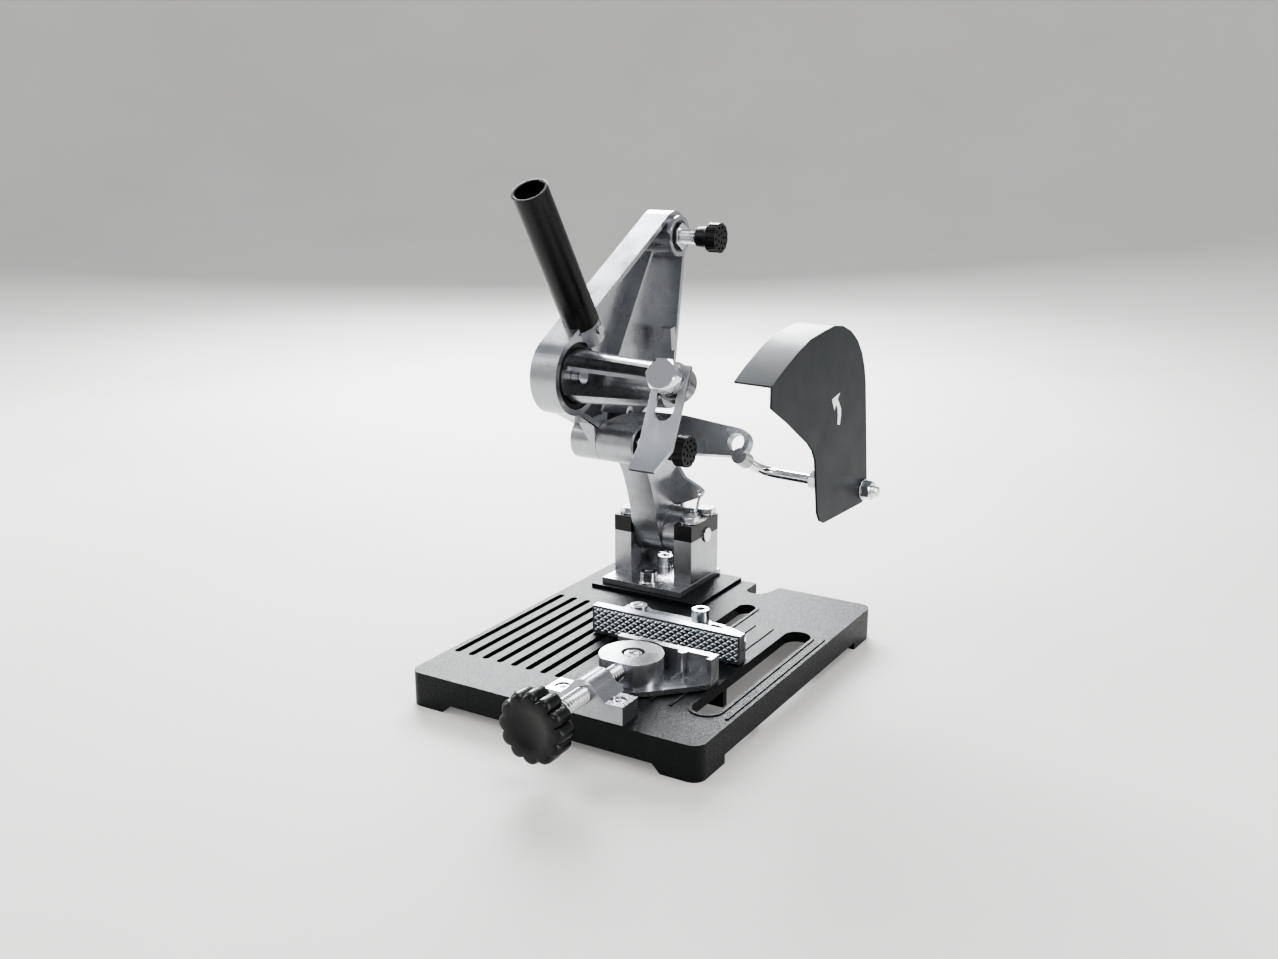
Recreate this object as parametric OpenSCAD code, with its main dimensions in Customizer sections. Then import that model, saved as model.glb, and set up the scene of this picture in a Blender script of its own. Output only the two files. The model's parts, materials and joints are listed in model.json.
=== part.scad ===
// Cut-off stand for an angle grinder, with vise, swing arm, holder frame and wheel guard.
// X runs along the front edge of the base, Y from the vise knob to the column, Z is up.
// The origin is the centre of the base footprint, on the surface that it stands on.

/* [Base] */
// Width of the base along X
base_w = 230; // [225:1:240]
// Length of the base along Y
base_l = 285; // [283:1:300]
// Height of the base top above the table
base_h = 25; // [24:0.5:26]
// Width of the grooves in the left half of the base top
groove_w = 5; // [3:0.5:6]
// Distance between neighbouring grooves
groove_pitch = 12.5; // [12:0.5:13]
// Width of the slot that the cutting disc drops into
disc_slot_w = 20; // [14:1:20]

/* [Column and arm] */
// Height of the arm pivot above the table
pivot_z = 69; // [68:0.5:70]
// Radius of the arm pivot pin
pin_r = 6; // [5:0.5:6.5]
// Clear gap between the two uprights of the column
column_gap = 40; // [40:0.5:42]
// Height of the bearing caps
cap_h = 13; // [10:1:16]

/* [Holder] */
// Tilt of the machine support plate from the vertical
holder_tilt = 25.5; // [22:0.5:28]
// Outer radius of the round sleeve housing
housing_r = 30; // [29:0.5:31]
// Outside diameter of the handle tube
handle_d = 27; // [24:0.5:28]
// Length of the handle tube
handle_l = 118; // [90:1:130]
// Radius of the threaded support rods
rod_r = 6; // [5:0.5:6]
// Width of the support plate
plate_w = 27; // [24:1:28]

/* [Vise] */
// Radius of the vise lead screw
screw_r = 6; // [5:0.5:6.5]
// Radius of the vise knob, over its lobes
knob_r = 24; // [20:0.5:25]
// Number of lobes on the vise knob
knob_lobes = 12; // [8:1:14]
// Thread pitch of the lead screw
screw_pitch = 3; // [2:0.5:4]
// Height of the fence face
fence_h = 21.5; // [18:0.5:23]

/* [Guard] */
// Width of the guard rim
guard_rim_w = 30; // [22:1:34]
// Thickness of the guard sheet
guard_t = 1.6; // [1.2:0.2:2.4]
// Radius of the guard rod
guard_rod_r = 4; // [3.5:0.25:4.5]
// Yaw of the guard about the vertical
guard_yaw = -5.5; // [-8:0.5:0]

/* [Hidden] */
$fn = 64;
eps = 0.01;
steel = "#b9bcc0";
zinc = "#d8dade";
casting = "#a9abad";
black = "#1d2021";
rubber = "#151515";

// ---- base ----
corner_r = 9;
foot_h = 6;
foot_len = 34;
shell_t = 7;
centre_foot_r = 8;
bolt_boss_r = 8;
skirt_t = 6;
groove_d = 4.5;
groove_x0 = -108.1;
groove_count = 8;
groove_y0 = -99;
groove_y1 = 38;
disc_slot_x = 92;
disc_slot_y0 = -100;
disc_slot_y1 = 61;
clamp_slot_x = 33;
clamp_slot_w = 14;
clamp_slot_y0 = -14;
clamp_slot_y1 = 93;
rim_w = 2.5;
rim_h = 0.8;
rib_xs = [54, 69, 110.5];
rib_y0 = -99;
rib_y1 = 58;
under_rib_t = 5;
under_rib_xs = [-5, 64];
cross_rib_y = -45;
pad_x0 = -98.6;
pad_x1 = 0.5;
pad_y0 = 66;
pad_h = 3;
pad_top = base_h + pad_h;

// ---- column ----
column_x = -55.5;
pivot_y = 116;
flange_t = 5;
flange_x0 = -92;
flange_x1 = -19;
flange_y0 = 71.5;
flange_y1 = 141;
upright_t = 16;
upright_y0 = 90.5;
upright_y1 = 136;
column_x0 = column_x - column_gap / 2;
column_x1 = column_x + column_gap / 2;
flange_top = pad_top + flange_t;
cap_bolt_ys = [101, 131];
cap_bolt_r = 4;
bracket_bolt_spots = [[column_x + 3, 79.5], [column_x - 6, 122]];

// ---- arm ----
joint_y = 54;
joint_z = 154;
joint_r = 16;
arm_x0 = -75;
arm_x1 = -51;
arm_wrap_r = 20.5;
barrel_r = 19.5;
bush_r = 9;
bush_l = 10;
boss_x0 = -75.7;
boss_x1 = -44;
nut_recess_r = 12.8;
nut_recess_d = 4;
fin_y1 = 128;
fin_t = 4.5;
hook_x = arm_x1 + 20;
hook_z = 101;
lug_y = 90;
lug_z = 157;
lug_x = 18.5;
lug_t = 8.5;
lug_r = 11;

// ---- holder frame ----
frame_x0 = -99;
frame_x1 = -76;
wall_t = 4;
housing_y = 16;
housing_z = 211;
housing_bore_r = 25.3;
top_y = 160;
top_z = 303.5;
top_r = 20;
top_boss_r = 16.5;
top_boss_x1 = -71;
corner_y = 150;
corner_z = 196;
corner_out_r = 13;
rib_h = 10;
rib_t = 3;
handle_x = -82;
handle_y = 30;
handle_z = 249;
handle_lean = 32.5;
handle_wall = 2.5;
journal_r = 21;
frame_circles = [[housing_y, housing_z, housing_r], [top_y, top_z, top_r],
                 [corner_y, corner_z, corner_out_r], [joint_y, joint_z, joint_r]];

// ---- sleeve, tool bolt and support plate ----
sleeve_face_x = -81;
sleeve_end_x = 4;
sleeve_r0 = 20.6;
sleeve_r1 = 15.5;
sleeve_wall = 3.2;
sleeve_disc_t = 2;
bolt_x = 14;
boss_r = 14;
boss_back = 8;
boss_front = 19;
plate_t = 3;
plate_up = 11.5;
plate_down = 48.5;
plate_slot_w = 15.5;
plate_slot_down = 29.5;
lip_l = 21;
lip_bend = -20;
tool_r = 7;
tool_head_af = 22;
tool_head_h = 9;
tool_washer_t = 6.5;
tool_end = -4;
tool_end_r = 6.4;

// ---- guard ----
pivot_pt = [111, 121.3, 125.2];
rod_reach = 90;
rod_drop = 28;
spacer_l = 36;
guard_out = [[-138, 86], [-138, 101], [-124, 109.5], [-104, 119.5], [-89, 125.6],
             for (a = [105:-15:15]) [-55 + 50 * cos(a) * 1.02, 81 + 50 * sin(a)],
             [-2.8, 82], [1, 50], [6, 8], [6, -7], [-1, -10.5], [-60, -12], [-66, -9], [-70, -2],
             [-75.5, 38], [-80, 46], [-87, 52.5], [-116, 72.5]];
guard_rim_first = 1;
guard_rim_last = 13;

// ---- fence and vise ----
fence_x0 = -43;
fence_x1 = 79.5;
fence_y = -18.5;
fence_t = 8;
fence_gap = rim_h + 0.05;
fence_pivot = [-17, 5];
clamp_bolt = [36, 4];
ledge_h = 14;
vise_x = 29;
screw_z = 40;
block_y0 = -141.5;
block_y1 = -122;
block_w = 60;
block_h = 13;
block_screw_dx = 21.5;
block_screw_y = -132;
arch_r = 10.5;
arch_y1 = block_y1 + 4;
arch_foot = 17;
jaw_y = -81;
jaw_r = 22.3;
jaw_z0 = 29.6;
jaw_z1 = 47;
jaw_face_y = -51;
jaw_x0 = vise_x - 26;
jaw_x1 = 80;
jaw_top = 46;
jaw_t = 6;
jaw_pivot = [vise_x, jaw_y + 2];
foot_t = 3.7;
butt_gap = 0.05;
knob_face_y = -201;
knob_t = 19;

// A round bar along X from x0 to x1
module bar_x(r, x0, x1, y = 0, z = 0) {
    translate([x0, y, z])
        rotate([0, 90, 0])
            cylinder(r = r, h = x1 - x0);
}

// A tapered round bar along X
module cone_x(r0, r1, x0, x1, y = 0, z = 0) {
    translate([x0, y, z])
        rotate([0, 90, 0])
            cylinder(r1 = r0, r2 = r1, h = x1 - x0);
}

// A round bar along Y from y0 to y1
module bar_y(r, y0, y1, x = 0, z = 0) {
    translate([x, y0, z])
        rotate([-90, 0, 0])
            cylinder(r = r, h = y1 - y0);
}

// A hexagonal bar along Z, measured across its flats
module hex_z(af, h) {
    cylinder(r = af / sqrt(3), h = h, $fn = 6);
}

// A hexagonal bar along X, measured across its flats
module hex_x(af, x0, x1, y, z) {
    translate([x0, y, z])
        rotate([0, 90, 0])
            hex_z(af, x1 - x0);
}

// A plate in the YZ plane from x0 to x1, from a 2D shape drawn as [y, z]
module plate_yz(x0, x1) {
    translate([x0, 0, 0])
        rotate([90, 0, 90])
            linear_extrude(x1 - x0)
                children();
}

// A slot with round ends along Y
module slot_y(w, y0, y1, h) {
    r = w / 2;
    translate([-r, y0 + r, 0])
        cube([w, y1 - y0 - w, h]);
    for (y = [y0 + r, y1 - r])
        translate([0, y, 0])
            cylinder(r = r, h = h);
}

// A rectangle with round corners, centred
module round_plate(w, l, r, h) {
    translate([-w / 2 + r, -l / 2, 0])
        cube([w - 2 * r, l, h]);
    translate([-w / 2, -l / 2 + r, 0])
        cube([w, l - 2 * r, h]);
    for (x = [-1, 1], y = [-1, 1])
        translate([x * (w / 2 - r), y * (l / 2 - r), 0])
            cylinder(r = r, h = h);
}

// A hexagon-head bolt pointing down, its head resting on z = 0
module hex_bolt(r, af, head_h, l) {
    hex_z(af, head_h);
    translate([0, 0, -l])
        cylinder(r = r, h = l + eps);
}

// A socket-head bolt pointing down, its head resting on z = 0
module socket_bolt(r, head_r, head_h, l) {
    difference() {
        cylinder(r = head_r, h = head_h);
        translate([0, 0, head_h * 0.45])
            hex_z(r * 1.5, head_h);
    }
    translate([0, 0, -l])
        cylinder(r = r, h = l + eps);
}

module washer(r_in, r_out, h) {
    difference() {
        cylinder(r = r_out, h = h);
        translate([0, 0, -eps])
            cylinder(r = r_in, h = h + 2 * eps);
    }
}

// Everything that is square to the support plate: z points out of its face
module at_tool() {
    translate([bolt_x, housing_y, housing_z])
        rotate([90 - holder_tilt, 0, 0])
            children();
}

// The guard's own frame: x points out of its face, the origin is the end of its rod
module at_guard() {
    translate(pivot_pt)
        rotate([0, 0, guard_yaw])
            children();
}

// ---- base ----

module foot_corner() {
    rotate([90, 0, 0])
        linear_extrude(foot_len)
            polygon([[0, 0], [foot_len - 6, 0], [foot_len, foot_h + eps], [0, foot_h + eps]]);
}

module base_plate() {
    color(black)
    difference() {
        union() {
            translate([0, 0, foot_h])
                round_plate(base_w, base_l, corner_r, base_h - foot_h);
            intersection() {
                round_plate(base_w, base_l, corner_r, base_h);
                for (sx = [-1, 1], sy = [-1, 1])
                    scale([sx, sy, 1])
                        translate([-base_w / 2, base_l / 2, 0])
                            foot_corner();
            }
            // round foot in the middle, under the ribs
            cylinder(r = centre_foot_r, h = base_h - eps);
            translate([pad_x0, pad_y0, base_h - eps])
                cube([pad_x1 - pad_x0, base_l / 2 - pad_y0 - 1, pad_h + eps]);
            translate([disc_slot_x, 0, base_h - eps])
                slot_y(disc_slot_w + 2 * rim_w, disc_slot_y0 - rim_w, disc_slot_y1 + rim_w,
                       rim_h);
            translate([clamp_slot_x, 0, base_h - eps])
                slot_y(clamp_slot_w + 2 * rim_w, clamp_slot_y0 - rim_w, clamp_slot_y1 + rim_w,
                       rim_h);
            for (x = rib_xs)
                translate([x, 0, base_h - eps])
                    slot_y(2.4, rib_y0, rib_y1, rim_h);
        }
        // underside, hollowed between the skirt and the deck
        translate([0, 0, -eps])
            linear_extrude(base_h - shell_t)
                difference() {
                    square([base_w - 2 * skirt_t, base_l - 2 * skirt_t], center = true);
                    translate([0, cross_rib_y])
                        square([base_w, under_rib_t], center = true);
                    for (x = under_rib_xs)
                        translate([x, 0])
                            square([under_rib_t, base_l], center = true);
                    for (sx = [-1, 1])
                        translate([vise_x + sx * block_screw_dx, block_screw_y])
                            circle(r = 7);
                    for (p = bracket_bolt_spots)
                        translate(p)
                            circle(r = bolt_boss_r);
                    translate(fence_pivot)
                        circle(r = bolt_boss_r);
                    circle(r = centre_foot_r);
                }
        // grooves on the left
        for (i = [0:groove_count - 1])
            translate([groove_x0 + i * groove_pitch, 0, base_h - groove_d])
                slot_y(groove_w, groove_y0, groove_y1, 2 * groove_d);
        // slot for the cutting disc
        translate([disc_slot_x, 0, -1])
            slot_y(disc_slot_w, disc_slot_y0, disc_slot_y1, base_h + 5);
        // slot for the fence clamp
        translate([clamp_slot_x, 0, -1])
            slot_y(clamp_slot_w, clamp_slot_y0, clamp_slot_y1, base_h + 5);
        // notch in the back edge
        translate([0, 0, -1])
            linear_extrude(base_h + 5)
                polygon([[14, 160], [14, 124], [17, 120.5], [22, 119.5], [28, 121.5],
                         [32, 129], [35, 142.6], [36, 160]]);
        // threaded holes for the bracket, fence and nut block
        for (p = bracket_bolt_spots)
            translate([p[0], p[1], -1])
                cylinder(r = 4, h = base_h + 10);
        translate([fence_pivot[0], fence_pivot[1], -1])
            cylinder(r = 4, h = base_h + 10);
        for (sx = [-1, 1])
            translate([vise_x + sx * block_screw_dx, block_screw_y, -1])
                cylinder(r = 3, h = base_h + 10);
    }
}

// ---- column ----

// One upright; side is -1 for the left and 1 for the right
module upright(side) {
    x0 = side < 0 ? column_x0 - upright_t : column_x1;
    translate([x0, upright_y0, pad_top])
        cube([upright_t, upright_y1 - upright_y0, pivot_z - pad_top]);
}

module column_bracket() {
    color(casting)
    difference() {
        union() {
            translate([flange_x0, flange_y0, pad_top])
                cube([flange_x1 - flange_x0, flange_y1 - flange_y0, flange_t]);
            for (side = [-1, 1])
                upright(side);
            // low cross wall at the back
            translate([column_x0 - 1, 130, pad_top])
                cube([column_gap + 2, 5, 15]);
        }
        bar_x(pin_r, flange_x0 - 10, flange_x1 + 10, pivot_y, pivot_z);
        for (side = [-1, 1], y = cap_bolt_ys)
            translate([column_x + side * (column_gap + upright_t) / 2, y, pad_top + 12])
                cylinder(r = cap_bolt_r, h = 60);
        for (p = bracket_bolt_spots)
            translate([p[0], p[1], pad_top - 1])
                cylinder(r = 4.2, h = 20);
    }
}

module bearing_cap(side) {
    x0 = side < 0 ? column_x0 - upright_t : column_x1;
    difference() {
        translate([x0, upright_y0, pivot_z])
            cube([upright_t, upright_y1 - upright_y0, cap_h]);
        bar_x(pin_r, x0 - 1, x0 + upright_t + 1, pivot_y, pivot_z);
        for (y = cap_bolt_ys)
            translate([x0 + upright_t / 2, y, pivot_z - 1])
                cylinder(r = cap_bolt_r + 0.2, h = cap_h + 2);
    }
}

module left_bearing_cap() {
    color(black)
        bearing_cap(-1);
}

module right_bearing_cap() {
    color(black)
        bearing_cap(1);
}

module cap_bolts() {
    color(zinc)
    for (side = [-1, 1], y = cap_bolt_ys)
        translate([column_x + side * (column_gap + upright_t) / 2, y, pivot_z + cap_h]) {
            hex_bolt(cap_bolt_r, 13, 5.3, cap_h + 24);
            cylinder(r = 7.6, h = 1);
        }
}

module bracket_bolts() {
    color(zinc)
    for (p = bracket_bolt_spots)
        translate([p[0], p[1], flange_top + 1.6])
            socket_bolt(4, 6.5, 8, 22);
}

module bracket_washers() {
    color(zinc)
    for (p = bracket_bolt_spots)
        translate([p[0], p[1], flange_top])
            washer(4.2, 8, 1.6);
}

module pivot_pin() {
    color(zinc)
        bar_x(pin_r, column_x0 - upright_t - 1, column_x1 + upright_t + 1.5, pivot_y, pivot_z);
}

// ---- arm ----

// Side outline of the arm, as [y, z]
module arm_side(inset) {
    offset(delta = -inset)
        polygon([[pivot_y - arm_wrap_r, pivot_z - 4],
                 [pivot_y - 23.3, pivot_z + 3], [pivot_y - 27, pivot_z + 15],
                 [pivot_y - 27.4, pivot_z + 21], [pivot_y - 33, pivot_z + 38], [pivot_y - 39, pivot_z + 53],
                 [pivot_y - 47, pivot_z + 66], [joint_y, joint_z - joint_r],
                 [joint_y - 2, joint_z + joint_r], [joint_y + 20, joint_z + 16.5],
                 [lug_y + 8, lug_z + 12], [lug_y + 22, lug_z - 3], [122, 142],
                 [127, 124], [133, 100], [136, 84], [pivot_y + arm_wrap_r, pivot_z - 4]]);
}

module arm_lug() {
    translate([0, lug_y, lug_z])
        rotate([90 - holder_tilt, 0, 0])
            translate([0, 0, -lug_t])
                difference() {
                    union() {
                        translate([lug_x, 0, 0])
                            cylinder(r = lug_r, h = lug_t);
                        linear_extrude(lug_t)
                            polygon([[arm_x0 + 14, -17], [arm_x0 + 14, 15], [-30, 15.5],
                                     [lug_x + 2, lug_r - 0.2], [lug_x + 1, -lug_r],
                                     [-35, -15]]);
                    }
                    translate([lug_x, 0, -1])
                        cylinder(r = 7, h = lug_t + 2);
                }
}

// The end of the guard rod runs along this line into the arm
module at_rod_socket() {
    at_guard()
        translate([-rod_reach, 0, 0])
            rotate([0, 0, -guard_yaw])
                rotate([90 - rod_drop, 0, 0])
                    children();
}

module swing_arm() {
    color(casting)
    difference() {
        union() {
            // web at the right, with flanges behind and in front of it
            plate_yz(arm_x1 - 6, arm_x1 - 1)
                arm_side(0);
            difference() {
                plate_yz(arm_x0, arm_x1)
                    arm_side(0);
                plate_yz(arm_x0 - 1, arm_x1 - 6)
                    arm_side(5);
                plate_yz(arm_x1 - 1, arm_x1 + 1)
                    arm_side(3.5);
            }
            bar_x(arm_wrap_r, arm_x0, arm_x1, pivot_y, pivot_z);
            bar_x(barrel_r, column_x0 + 0.3, column_x1 - 0.3, pivot_y, pivot_z);
            bar_x(joint_r, boss_x0, boss_x1, joint_y, joint_z);
            // fin that holds the spring hook
            translate([arm_x1 - 2, fin_y1, 0])
                rotate([90, 0, 0])
                    linear_extrude(fin_t)
                        polygon([[0, 86], [4, 88.5], [24, 97.5], [25.5, 102], [22, 105],
                                 [8, 111.5], [0, 122]]);
            arm_lug();
            at_rod_socket()
                translate([0, 0, socket_start])
                    cylinder(r = socket_r, h = socket_l);
        }
        bar_x(bush_r, column_x0 - 1, column_x1 + 1, pivot_y, pivot_z);
        bar_x(15.5, column_x1 - 14, column_x1 + 1, pivot_y, pivot_z);
        bar_x(rod_r + 0.05, boss_x0 - 1, boss_x1 + 1, joint_y, joint_z);
        bar_x(nut_recess_r, boss_x1 - nut_recess_d, boss_x1 + 1, joint_y, joint_z);
        // the guard rod's socket and its screw hole
        at_rod_socket() {
            cylinder(r = guard_rod_r + 0.05, h = socket_start + socket_depth);
            translate([0, 0, socket_start + grub_l])
                rotate([-90, 0, 0])
                    cylinder(r = 2, h = 12);
        }
        // hole for the spring's hook, and the notch that the spring's leg comes out of
        bar_y(2, fin_y1 - 8, fin_y1 + 4, hook_x, hook_z);
        translate([column_x1 - 9, pivot_y + 10, pivot_z + 1])
            cube([12, 16, 14.5]);
    }
}

module arm_bushes() {
    color("#8a6d3b")
    for (x = [column_x0 + 0.3, column_x1 - 0.3 - 14 - bush_l])
        difference() {
            bar_x(bush_r, x, x + bush_l, pivot_y, pivot_z);
            bar_x(pin_r + 0.04, x - 1, x + bush_l + 1, pivot_y, pivot_z);
        }
}

// Torsion spring: a coil round the pivot and a leg up to the hook in the fin
spring_r = 11.6;
spring_wire_r = 1.1;
spring_turns = 4;
spring_x0 = column_x1 - 12.6;
spring_steps = 18;
spring_pts = [for (i = [0:spring_turns * spring_steps])
                  [spring_x0 + i * 10 / (spring_turns * spring_steps),
                   pivot_y + spring_r * cos(360 * i / spring_steps),
                   pivot_z + spring_r * sin(360 * i / spring_steps)],
              [spring_x0 + 10.2, pivot_y + 14.5, pivot_z + 7],
              [spring_x0 + 10.5, pivot_y + 16.8, pivot_z + 14.5], [arm_x1 + 14, 134.3, 92],
              [hook_x - 3, 134.6, 97.5], [hook_x - 0.6, 132.6, hook_z - 0.4],
              [hook_x, 129, hook_z], [hook_x, 121, hook_z]];

// One ring of points round a path, square to its direction
function ring_at(p, d, r, n) =
    let (u = d / norm(d),
         side = cross(u, [1, 0.13, 0.07]),
         a = side / norm(side),
         b = cross(u, a))
    [for (k = [0:n - 1]) p + r * (cos(360 * k / n) * a + sin(360 * k / n) * b)];

// A closed tube along a list of points
module tube_along(pts, r, n) {
    last = len(pts) - 1;
    rings = [for (i = [0:last]) ring_at(pts[i], pts[min(i + 1, last)] - pts[max(i - 1, 0)], r, n)];
    sides = [for (i = [0:last - 1], k = [0:n - 1])
                 [i * n + k, (i + 1) * n + k, (i + 1) * n + (k + 1) % n, i * n + (k + 1) % n]];
    ends = [[for (k = [0:n - 1]) k], [for (k = [n - 1:-1:0]) last * n + k]];
    polyhedron([for (ring = rings, p = ring) p], concat(sides, ends), convexity = 8);
}

module return_spring() {
    color(steel)
        tube_along(spring_pts, spring_wire_r, 8);
}

// Hexagon nut on a rod along X
module rod_nut(x0, y, z) {
    difference() {
        hex_x(19, x0, x0 + 7, y, z);
        bar_x(rod_r + 0.05, x0 - 1, x0 + 8, y, z);
    }
}

module arm_lock_nut() {
    color(zinc)
        rod_nut(boss_x1 - nut_recess_d, joint_y, joint_z);
}

// Rubber foot with a dimpled face, on the end of a rod along X
module rubber_foot(x0, y, z) {
    difference() {
        union() {
            cone_x(8, 8.6, x0, x0 + 8, y, z);
            cone_x(8.6, 12, x0 + 8, x0 + 11, y, z);
            bar_x(12, x0 + 11, x0 + 20, y, z);
        }
        bar_x(rod_r + 0.05, x0 - 1, x0 + 12.5, y, z);
        for (ring = [[4, 5], [8.6, 10]], i = [0:ring[1] - 1])
            bar_x(1.1, x0 + 18.8, x0 + 21, y + ring[0] * cos(360 * i / ring[1]),
                  z + ring[0] * sin(360 * i / ring[1]));
        for (i = [0:11])
            bar_x(1.3, x0 + 12.5, x0 + 21, y + 12.6 * cos(30 * i), z + 12.6 * sin(30 * i));
    }
}

lower_foot_x = -22;
upper_foot_x = -53.5;

module lower_rod() {
    color(zinc)
        bar_x(rod_r, frame_x0 - 4, lower_foot_x + 12, joint_y, joint_z);
}

module lower_foot() {
    color(rubber)
        rubber_foot(lower_foot_x, joint_y, joint_z);
}

module upper_rod() {
    color(zinc)
        bar_x(rod_r, frame_x0 - 6, upper_foot_x + 12, top_y, top_z);
}

module upper_foot() {
    color(rubber)
        rubber_foot(upper_foot_x, top_y, top_z);
}

module guard_grub_screw() {
    color(steel)
    at_rod_socket()
        translate([0, 0, socket_start + grub_l])
            rotate([-90, 0, 0])
                translate([0, 0, guard_rod_r + 0.1])
                    cylinder(r = 2, h = 4.5);
}

// ---- holder frame ----

// Outline round the frame's four bosses, drawn in by a wall thickness, and cut back
// between the housing and the joint
module frame_side(inset) {
    along = [0.883, -0.469];
    inward = [0.469, 0.883];
    start = [-7.2, 193.3] + inset * inward;
    reach = (joint_y - start[0]) / along[0];
    difference() {
        hull()
            for (c = frame_circles)
                translate([c[0], c[1]])
                    circle(r = c[2] - inset);
        polygon([start - 60 * along, start + reach * along, [joint_y, 100], [-80, 100]]);
    }
}

// A thin rib on the web from one point to another
module frame_rib(a, b) {
    d = b - a;
    translate([frame_x0, a[0], a[1]])
        rotate([atan2(d[1], d[0]), 0, 0])
            translate([0, 0, -rib_t / 2])
                cube([wall_t + rib_h, norm(d), rib_t]);
}

module at_handle() {
    translate([handle_x, handle_y, handle_z])
        rotate([handle_lean, 0, 0])
            children();
}

module holder_frame() {
    color(casting)
    difference() {
        union() {
            difference() {
                plate_yz(frame_x0, frame_x1)
                    frame_side(0);
                plate_yz(frame_x0 + wall_t, frame_x1 + 1)
                    frame_side(wall_t);
            }
            bar_x(housing_r, frame_x0, frame_x1, housing_y, housing_z);
            bar_x(top_boss_r, frame_x0, top_boss_x1, top_y, top_z);
            bar_x(joint_r, frame_x0, frame_x1, joint_y, joint_z);
            frame_rib([top_y - 20, top_z - 12], [joint_y + 5, joint_z + 17]);
            frame_rib([housing_y + 26, housing_z - 14], [corner_y - 2, corner_z + 2]);
            // wedge from the tray's edge down to the front of the joint
            intersection() {
                plate_yz(frame_x0, frame_x1)
                    polygon([[36, 176], [38.5, 150], [42, 143], [joint_y, joint_z], [56, 176]]);
                translate([0, 100, 0])
                    rotate([90, 0, 0])
                        linear_extrude(100)
                            polygon([[frame_x0 + 2, 182], [frame_x1, 182], [frame_x1, 146]]);
            }
            // raised pad on the inside of the rear wall
            translate([frame_x1 - 10, 156.5, 209])
                rotate([7, 0, 0])
                    cube([10, 8, 19]);
            bar_x(6, frame_x0, frame_x1 - 6, 99, 166);
            at_handle()
                translate([0, 0, -14])
                    cylinder(r = handle_d / 2 - handle_wall - 0.05, h = 30);
            at_handle()
                translate([0, 0, -16])
                    cylinder(r = handle_d / 2, h = 16);
        }
        // seat for the handle tube, round its spigot
        at_handle()
            difference() {
                cylinder(r = handle_d / 2 + 0.05, h = 40);
                translate([0, 0, -1])
                    cylinder(r = handle_d / 2 - handle_wall - 0.05, h = 20);
            }
        bar_x(housing_bore_r, frame_x0 + wall_t, frame_x1 + 1, housing_y, housing_z);
        bar_x(4.05, frame_x0 - 1, frame_x1, housing_y, housing_z);
        bar_x(rod_r + 0.05, frame_x0 - 1, frame_x1 + 1, joint_y, joint_z);
        bar_x(rod_r + 0.05, frame_x0 - 1, top_boss_x1 + 1, top_y, top_z);
        bar_x(nut_recess_r, top_boss_x1 - nut_recess_d, top_boss_x1 + 1, top_y, top_z);
        bar_x(2.5, frame_x1 - 12, frame_x1, 99, 166);
        at_handle()
            translate([0, 0, -6])
                rotate([0, 90, 0])
                    cylinder(r = 2, h = 30);
    }
}

module handle_tube() {
    color(black)
    at_handle()
        difference() {
            cylinder(r = handle_d / 2, h = handle_l);
            translate([0, 0, -1])
                cylinder(r = handle_d / 2 - handle_wall, h = handle_l + 2);
        }
}

module handle_screw() {
    color(steel)
    at_handle()
        translate([0, 0, -6])
            rotate([0, 90, 0]) {
                translate([0, 0, 4])
                    cylinder(r = 2, h = handle_d / 2 - 4);
                translate([0, 0, handle_d / 2])
                    cylinder(r = 3.6, h = 2.4);
            }
}

module sleeve_bush() {
    color(rubber)
    difference() {
        bar_x(housing_bore_r, frame_x0 + wall_t, frame_x1 - 1, housing_y, housing_z);
        bar_x(journal_r, frame_x0 + wall_t - 1, frame_x1, housing_y, housing_z);
    }
}

module frame_lock_nut() {
    color(zinc)
        rod_nut(top_boss_x1 - nut_recess_d, top_y, top_z);
}

// ---- sleeve ----

module sleeve_window(z0, z1) {
    x0 = sleeve_face_x + 3;
    x1 = sleeve_end_x - 5;
    k = sleeve_r1 / sleeve_r0;
    translate([0, housing_y, housing_z])
        rotate([90, 0, 0])
            linear_extrude(30)
                polygon([[x0, z0], [x1, z0 * k], [x1, z1 * k], [x0, z1]]);
}
module holder_sleeve() {
    l = sleeve_end_x - sleeve_face_x;
    color(casting)
    difference() {
        union() {
            bar_x(journal_r - 0.05, frame_x0 + wall_t + 0.5, sleeve_face_x, housing_y, housing_z);
            difference() {
                translate([sleeve_face_x, housing_y, housing_z])
                    rotate([0, 90, 0])
                        rotate_extrude()
                            polygon([[0, -1], [sleeve_r0, -1], [sleeve_r0, 0], [sleeve_r1, l],
                                     [0, l], [0, l - 3], [sleeve_r1 - sleeve_wall, l - 3],
                                     [sleeve_r0 - sleeve_wall, sleeve_disc_t],
                                     [0, sleeve_disc_t]]);
                // long windows between the ribs, in the front of the shell
                sleeve_window(10.5, 17.5);
                sleeve_window(-11.5, 7.5);
            }
            at_tool()
                translate([0, 0, boss_back])
                    cylinder(r = boss_r, h = boss_front - boss_back);
        }
        at_tool()
            translate([0, 0, boss_back - 1])
                cylinder(r = tool_r + 0.05, h = boss_front - boss_back + 2);
        bar_x(4.05, frame_x0, sleeve_face_x + 5, housing_y, housing_z);
    }
}

module sleeve_bolt() {
    color(zinc) {
        bar_x(4, frame_x0 - 5, sleeve_face_x + 10, housing_y, housing_z);
        hex_x(13, frame_x0 - 5.3, frame_x0 - butt_gap, housing_y, housing_z);
        bar_x(6.2, sleeve_face_x + sleeve_disc_t + butt_gap, sleeve_face_x + 10, housing_y,
              housing_z);
    }
}

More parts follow.
